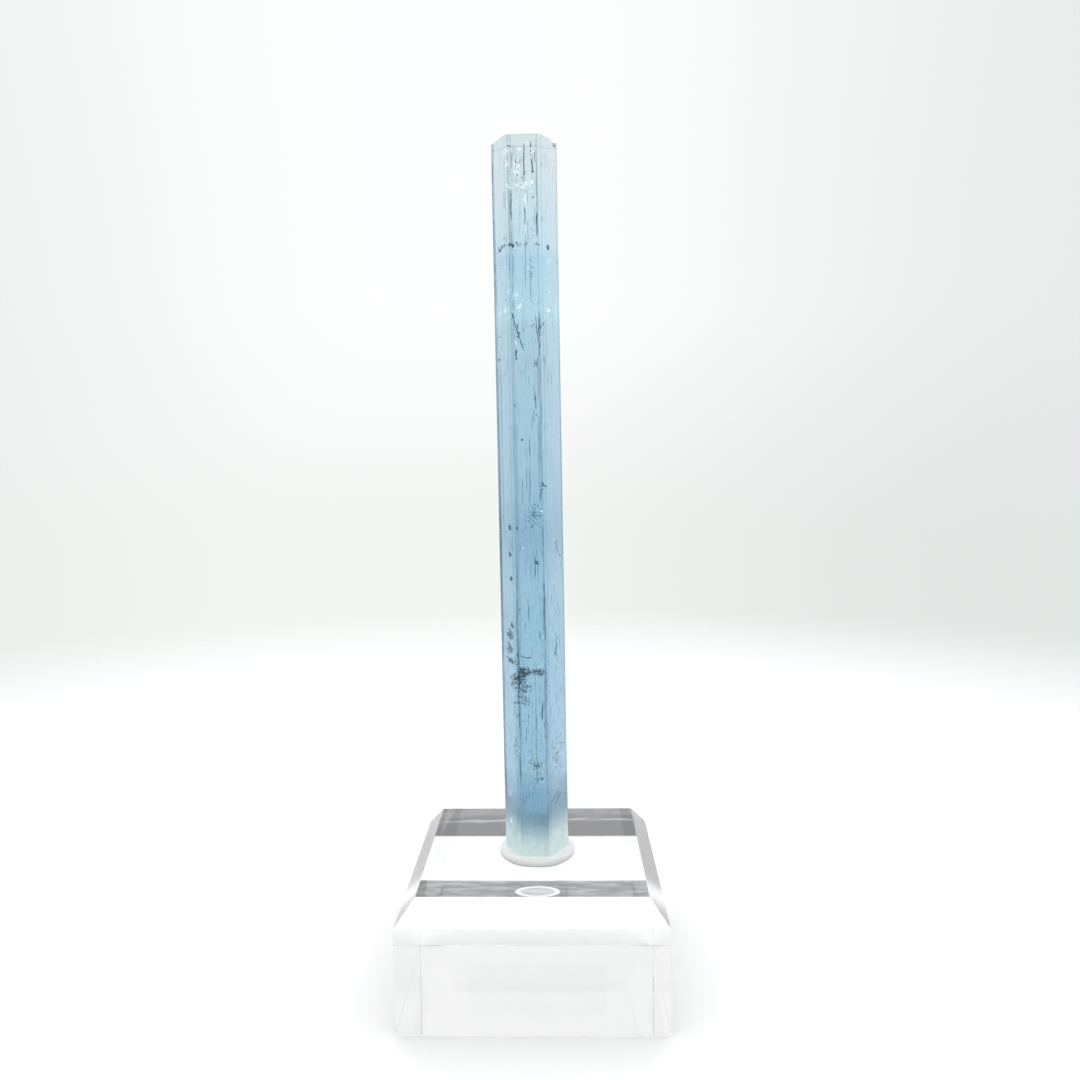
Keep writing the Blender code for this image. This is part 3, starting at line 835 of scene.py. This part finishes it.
def crystal(material):
    """The prism with its rim chipped."""
    item = make_object("crystal_prism", prism_shape(), material)
    cutters = []
    for number, (azimuth, *lengths) in enumerate(RIM_CHIPS):
        reach, depth, size = (length * MM for length in lengths)
        shape = bmesh.new()
        bmesh.ops.create_icosphere(shape, subdivisions=3, radius=size)
        for vert in shape.verts:
            uneven = noise.noise(vert.co / size * 1.7 + Vector((number, 0, 0)))
            vert.co *= 1.0 + CHIP_ROUGHNESS * uneven
        angle = math.radians(azimuth)
        out = reach + size * CHIP_OUT
        place = Vector((math.cos(angle) * out, math.sin(angle) * out,
                        LENGTH + size * CHIP_UP - depth))
        shape.transform(Matrix.Translation(place) @ Matrix.Rotation(angle * 3, 4, "X"))
        cutter = make_object(f"chip_{number}", shape, material)
        cut = item.modifiers.new(cutter.name, "BOOLEAN")
        cut.operation = "DIFFERENCE"
        cut.solver = "EXACT"
        cut.object = cutter
        cutters.append(cutter)
    apply_modifiers(item)
    for cutter in cutters:
        bpy.data.objects.remove(cutter)
    item.data.shade_smooth()
    item.data.set_sharp_from_angle(angle=PRISM_SHARP)
    item.matrix_world = crystal_place()
    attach(item, "root")
    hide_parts("crystal")


def inside(across, height, inset):
    """A point in the crystal's own frame, below the faces that look towards the front."""
    share = min(max(height * MM / LENGTH, 0.0), 1.0)
    back = max((reach - inset * MM - outward.x * across * MM) / outward.y
               for outward, reach in prism_lines(share) if outward.y < FACES_FRONT)
    return Vector((across * MM, back, height * MM))


def tube(shape, path, radii, sides=6):
    """A closed tube along the path, with a radius for each of its points."""
    loops = []
    for i, point in enumerate(path):
        ahead = path[min(i + 1, len(path) - 1)] - path[max(i - 1, 0)]
        ahead.normalize()
        across = ahead.cross(Vector((0.3, 1.0, 0.1))).normalized()
        up = ahead.cross(across)
        loop = []
        for step in range(sides):
            angle = math.tau * step / sides
            offset = across * math.cos(angle) + up * math.sin(angle)
            loop.append(shape.verts.new(point + offset * radii[i]))
        loops.append(loop)
    skin(shape, loops)


def flake(shape, place, size, flatness, dice):
    """A small closed crumb: a rough ball, or a flat plate where flatness is small."""
    turn = Matrix.Rotation(dice.uniform(0, math.tau), 4, "Z")
    tip = Matrix.Rotation(dice.uniform(-0.9, 0.9), 4, "X")
    squeeze = Matrix.Diagonal((dice.uniform(0.7, 1.2), flatness, dice.uniform(0.6, 1.5), 1.0))
    made = bmesh.ops.create_icosphere(shape, subdivisions=1, radius=size / 2)
    for vert in made["verts"]:
        vert.co *= dice.uniform(0.7, 1.2)
    bmesh.ops.transform(shape, matrix=Matrix.Translation(place) @ turn @ tip @ squeeze,
                        verts=made["verts"])


def inclusion_piece(name, shape, material):
    """The shape as a piece inside the crystal."""
    item = make_object(name, shape, material)
    item.matrix_world = crystal_place()
    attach(item, "root")


def growth_tubes(material):
    """Hollow tubes along the prism, each wavering a little and thinning at its ends."""
    shape = bmesh.new()
    for number, (x_high, high, x_low, low, inset, radius) in enumerate(TUBES):
        steps = max(6, int((high - low) / 0.35))
        path, radii = [], []
        for i in range(steps + 1):
            share = i / steps
            height = low + (high - low) * share
            sway = 0.10 * waver(number * 3.1, height * 1.1, 0.0)
            deep = inset + 0.12 * waver(number * 3.1, height * 0.6, 7.0)
            path.append(inside(x_low + (x_high - x_low) * share + sway, height, deep))
            swell = 0.8 + 0.5 * waver(number * 5.7, height * 2.3, 3.0)
            thin = min(1.0, 5.0 * min(share, 1.0 - share) + 0.15)
            radii.append(radius * MM * swell * thin)
        tube(shape, path, radii)
    inclusion_piece("growth_tubes", shape, material)


def fine_needles(name, sheaves, seed, material):
    """Hair-thin tubes through the whole prism."""
    dice = random.Random(seed)
    shape = bmesh.new()
    for count, lowest, highest, short, long, thin, thick in sheaves:
        for _ in range(count):
            angle = dice.uniform(0, math.tau)
            reach = NEEDLE_REACH * math.sqrt(dice.uniform(0, 1))
            low = dice.uniform(lowest, highest)
            high = min(low + short + (long - short) * dice.uniform(0, 1) ** 2, NEEDLE_TOP)
            radius = dice.uniform(thin, thick) * MM
            place = Vector((math.cos(angle) * reach, math.sin(angle) * reach, 0.0))
            path = [place + Vector((0, 0, z * MM)) for z in (low, (low + high) / 2, high)]
            tube(shape, path, (radius * 0.4, radius, radius * 0.4), 5)
    inclusion_piece(name, shape, material)


def fractures(material):
    """Thin cracks, drawn as bent strokes with rough edges."""
    shape = bmesh.new()
    for number, (radius, inset, points) in enumerate(STROKES):
        path, radii = [], []
        for (x, z), (next_x, next_z) in zip(points, points[1:]):
            for i in range(CRACK_STEPS):
                share = i / CRACK_STEPS
                bend = 0.05 * waver(number * 2.3, (z + share) * 4.0, 1.0)
                path.append(inside(x + (next_x - x) * share + bend,
                                   z + (next_z - z) * share + bend, inset))
        path.append(inside(*points[-1], inset))
        for i in range(len(path)):
            swell = 0.8 + 0.7 * waver(number * 4.1, i * 0.9, 2.0)
            thin = min(1.0, 0.25 + 0.4 * min(i, len(path) - 1 - i))
            radii.append(radius * MM * swell * thin)
        tube(shape, path, radii, 5)
    inclusion_piece("fractures", shape, material)


def cloud(name, clouds, flatness, material):
    """Crumbs or flakes scattered in clouds."""
    dice = random.Random(CLOUD_SEED)
    shape = bmesh.new()
    for across, height, wide, tall, inset, count, size in clouds:
        for _ in range(count):
            x = across + wide * dice.uniform(-1, 1) * dice.uniform(0.3, 1)
            z = height + tall * dice.uniform(-1, 1) * dice.uniform(0.3, 1)
            deep = inset + dice.uniform(-0.15, 0.35)
            flake(shape, inside(x, z, max(deep, LEAST_INSET)),
                  size * dice.uniform(0.5, 1.25) * MM, flatness, dice)
    inclusion_piece(name, shape, material)


def veils(name, lenses, leaning, material):
    """Thin upright lenses, each leaning a little."""
    dice = random.Random(CLOUD_SEED + 1)
    shape = bmesh.new()
    for across, height, inset, wide, tall in lenses:
        made = bmesh.ops.create_icosphere(shape, subdivisions=3, radius=0.5 * MM)
        for vert in made["verts"]:
            uneven = noise.noise(vert.co / MM * 2.5 + Vector((across, height, 0.0)))
            vert.co *= 1.0 + 0.5 * uneven
        place = inside(across, height, inset)
        lean = Matrix.Rotation(dice.uniform(-leaning, leaning), 4, "X")
        size = Matrix.Diagonal((wide, 0.12, tall, 1.0))
        bmesh.ops.transform(shape, matrix=Matrix.Translation(place) @ lean @ size,
                            verts=made["verts"])
    inclusion_piece(name, shape, material)


def display_block(material):
    """The bevelled block with softened arrises, in place of its solid."""
    low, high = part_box("display_block")
    side = high.x - low.x
    height = high.z
    shape = slab((0, 0, height / 2), (side, side, height))
    shape.normal_update()
    top = [face for face in shape.faces if face.normal.z > 0.9]
    bmesh.ops.inset_region(shape, faces=top, thickness=BEVEL_WIDTH)
    inner = {vert for face in top for vert in face.verts}
    for vert in shape.verts:
        if vert.co.z > height / 2 and vert not in inner:
            vert.co.z -= BEVEL_DROP
    item = make_object("acrylic_block", shape, material)
    arris = item.modifiers.new("arris", "BEVEL")
    arris.width = ARRIS
    arris.segments = 4
    arris.limit_method = "ANGLE"
    arris.angle_limit = ARRIS_SHARP
    arris.harden_normals = True
    item.data.shade_smooth()
    apply_modifiers(item)
    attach(item, "root")
    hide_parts("display_block")


def tack(material):
    """A disc of tack pressed round the crystal's foot, a little uneven at its rim."""
    low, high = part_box("tack_disc")
    middle = (low + high) / 2
    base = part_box("display_block")[1].z + TACK_GAP
    shape = bmesh.new()

    def rim(angle, share, level):
        """A point on the disc, share 1 at its rim and 0 at the crystal."""
        uneven = waver(math.cos(angle) * 1.4, math.sin(angle) * 1.4, 3.0)
        reach = TACK_RADIUS * (0.985 + 0.03 * uneven)
        outer = Vector((middle.x + math.cos(angle) * reach, middle.y + math.sin(angle) * reach))
        grip = prism_reach(0.0, angle - CRYSTAL_YAW) + TACK_CLEARANCE
        inner = Vector((FOOT_X + math.cos(angle) * grip, FOOT_Y + math.sin(angle) * grip))
        place = inner.lerp(outer, share)
        return Vector((place.x, place.y, base + level))

    loops = []
    for share, level in TACK_PROFILE:
        loop = []
        for step in range(TACK_STEPS):
            angle = math.tau * step / TACK_STEPS
            swell = waver(math.cos(angle) * 2.0, math.sin(angle) * 2.0, level)
            lift = level * (1.0 + 0.10 * swell) if 0.3 < level and share > 0.0 else level
            loop.append(shape.verts.new(rim(angle, share, lift * MM)))
        loops.append(loop)
    skin(shape, loops)
    item = make_object("tack_pad", shape, material)
    item.data.shade_smooth()
    item.data.set_sharp_from_angle(angle=TACK_SHARP)
    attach(item, "root")
    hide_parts("tack_disc")


def film(name, node, side, material):
    """A blank film stuck to the block's face, with rounded corners."""
    low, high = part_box(node)
    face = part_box("display_block")[1].y
    middle = ((low.x + high.x) / 2, side * (face + FILM_GAP + FILM_THICKNESS / 2),
              (low.z + high.z) / 2)
    shape = slab(middle, (high.x - low.x, FILM_THICKNESS, high.z - low.z))
    corners = [edge for edge in shape.edges
               if abs(edge.verts[0].co.y - edge.verts[1].co.y) > FILM_THICKNESS / 2]
    bmesh.ops.bevel(shape, geom=corners, offset=FILM_CORNER, segments=8, profile=0.5,
                    affect="EDGES")
    item = make_object(name, shape, material)
    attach(item, "root")
    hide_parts(node)


def camera():
    """The photograph's view."""
    item = bpy.data.objects.new("camera", bpy.data.cameras.new("camera"))
    bpy.context.scene.collection.objects.link(item)
    forward = Vector((math.sin(CAMERA_YAW) * math.cos(CAMERA_PITCH),
                      math.cos(CAMERA_YAW) * math.cos(CAMERA_PITCH), -math.sin(CAMERA_PITCH)))
    level_right = Vector((math.cos(CAMERA_YAW), -math.sin(CAMERA_YAW), 0.0))
    level_up = level_right.cross(forward)
    right = level_right * math.cos(CAMERA_ROLL) + level_up * math.sin(CAMERA_ROLL)
    up = level_up * math.cos(CAMERA_ROLL) - level_right * math.sin(CAMERA_ROLL)
    turn = Matrix((right, up, -forward)).transposed().to_4x4()
    item.matrix_world = Matrix.Translation(CAMERA_PLACE) @ turn
    item.data.sensor_width = SENSOR
    item.data.lens = SENSOR * FOCAL_PIXELS / PHOTO_PIXELS
    item.data.clip_start = 5 * MM
    bpy.context.scene.camera = item


def floor():
    """A white floor that fades into the backdrop, open under the block but for a band of painted
    shade with a painted highlight in it.
    """
    shape = bmesh.new()
    bmesh.ops.create_circle(shape, cap_ends=True, segments=96, radius=FLOOR_RADIUS)
    material, tree, shader, place = new_material("floor")
    reach = add(tree, "VectorMath", {0: place}, operation="LENGTH").outputs["Value"]
    fade = between(tree, reach, *FLOOR_FADE, 1.0, 0.0)
    x, y, _ = add(tree, "SeparateXYZ", {0: place}).outputs
    span = maths(tree, "MAXIMUM", maths(tree, "ABSOLUTE", x), maths(tree, "ABSOLUTE", y))
    outside = maths(tree, "GREATER_THAN", span, UNDER_BLOCK)
    # The band of painted shade under the block's front, streaky
    band = times(tree, maths(tree, "LESS_THAN", y, SHADE_EDGE), between(tree, y, *SHADE_FADE))
    streaks = stretched_noise(tree, place, (180.0, 900.0, 1.0), 3.0)
    shade = mix_colour(tree, between(tree, streaks, 0.4, 0.65), (0.34, 0.35, 0.37, 1.0),
                       (0.62, 0.63, 0.64, 1.0))
    tint = mix_colour(tree, outside, shade, (0.93, 0.93, 0.93, 1.0))
    # The lens: a painted highlight, an open ring and half-open middle cut into the band
    lens = add(tree, "VectorMath", {0: place, 1: LENS_PLACE}, operation="SUBTRACT").outputs[0]
    lens = add(tree, "VectorMath", {0: lens, 1: LENS_SIZE}, operation="DIVIDE").outputs[0]
    lens = add(tree, "VectorMath", {0: lens}, operation="LENGTH").outputs["Value"]
    lens = maths(tree, "MAXIMUM", between(tree, lens, 0.86, 1.0),
                 between(tree, lens, 0.82, 0.62, 0.0, 0.55))
    solid = maths(tree, "MAXIMUM", outside, times(tree, band, lens))
    feed(tree, shader, {"Base Color": tint, "Roughness": 0.9,
                        "Alpha": times(tree, fade, solid)})
    item = make_object("floor", shape, material)
    item.location.z = -FLOOR_DROP


def studio():
    """A light tent: white overhead, paler round the sides, with a dim opening in front."""
    world = bpy.data.worlds.new("light_tent")
    bpy.context.scene.world = world
    world.use_nodes = True
    tree = world.node_tree
    direction = add(tree, "TexCoord").outputs["Generated"]
    right, away, up = add(tree, "SeparateXYZ", {0: direction}).outputs
    # What the glass bends into view, reflects, and is lit by
    sides = mix_colour(tree, between(tree, right, -0.75, 0.75), (0.94, 0.94, 0.93, 1.0),
                       (0.86, 0.87, 0.87, 1.0))
    tent = mix_colour(tree, between(tree, up, 0.55, 0.85), sides, (1.55, 1.55, 1.55, 1.0))
    level = add(tree, "CombineXYZ", {0: right, 1: away}).outputs[0]
    level = add(tree, "VectorMath", {0: level}, operation="NORMALIZE").outputs[0]
    front = add(tree, "SeparateXYZ", {0: level}).outputs[1]
    opening = times(tree, between(tree, front, -0.80, -0.95), between(tree, up, 0.55, 0.35))
    tent = mix_colour(tree, opening, tent, (0.40, 0.41, 0.43, 1.0))
    # What the block's underside shows: white behind, dark towards the front
    gleam = maths(tree, "ABSOLUTE", plus(tree, up, 0.3725))
    band = maths(tree, "ABSOLUTE", plus(tree, up, 0.3650))
    gleam = maths(tree, "MAXIMUM", between(tree, gleam, 0.0013, 0.0004),
                  between(tree, band, 0.0045, 0.0010, 0.0, 0.35))
    dark = mix_colour(tree, gleam, (0.20, 0.20, 0.21, 1.0), (0.50, 0.51, 0.53, 1.0))
    beneath = mix_colour(tree, between(tree, away, -0.15, 0.15), dark, (1.15, 1.15, 1.15, 1.0))
    tent = mix_colour(tree, between(tree, up, -0.340, -0.355), tent, beneath)
    # What the camera sees behind the object
    high = between(tree, up, -0.10, 0.18)
    backdrop = mix_colour(tree, high, (0.890, 0.925, 0.900, 1.0), (0.99, 1.0, 0.995, 1.0))
    aside = plus(tree, right, between(tree, up, -0.10, 0.18, 0.20, 0.10))
    aside = between(tree, maths(tree, "ABSOLUTE", aside), 0.05, 0.62)
    shade = mix_colour(tree, high, (0.87, 0.87, 0.875, 1.0), (0.83, 0.83, 0.835, 1.0))
    backdrop = mix_colour(tree, aside, backdrop, shade, "MULTIPLY")
    path = add(tree, "LightPath").outputs
    feed(tree, tree.nodes["Background"],
         {"Color": mix_colour(tree, path["Is Camera Ray"], tent, backdrop)})


camera()
floor()
studio()
bpy.context.scene.view_settings.view_transform = "Standard"
crystal(beryl_material())
dark = inclusion_material("tube_filling", (0.02, 0.18, 0.27, 1.0), (0.06, 0.34, 0.47, 1.0),
                          0.6, 0.95, gloss=0.0)
growth_tubes(dark)
fractures(dark)
cloud("dark_specks", SPECK_CLOUDS, 0.5, dark)
fine_needles("fine_needles", FINE_NEEDLES, NEEDLE_SEED,
             inclusion_material("fine_tube", (0.12, 0.24, 0.34, 1.0), (0.3, 0.45, 0.55, 1.0),
                                0.5, 0.35))
# Glints: metallic flakes that reflect real light, with a painted glow on top
glint = inclusion_material("glint", (0.9, 0.97, 1.0, 1.0), (1.0, 1.0, 1.0, 1.0), 0.25, 0.9,
                           metallic=0.6, painted_glow=0.35)
cloud("glints", GLINT_CLOUDS, 0.2, glint)
veils("veils", VEILS, 0.5, veil_material())
veils("shades", SHADES, 0.0, shade_material())
# The bright needles glow with painted light
fine_needles("bright_needles", BRIGHT_NEEDLES, NEEDLE_SEED + 1,
             inclusion_material("bright_tube", (0.7, 0.85, 0.95, 1.0), (0.9, 1.0, 1.0, 1.0),
                                0.3, 0.5, painted_glow=0.3))
display_block(acrylic_material())
tack(tack_material())
label = film_material()
film("front_label_film", "front_film", -1, label)
film("back_label_film", "back_film", 1, label)
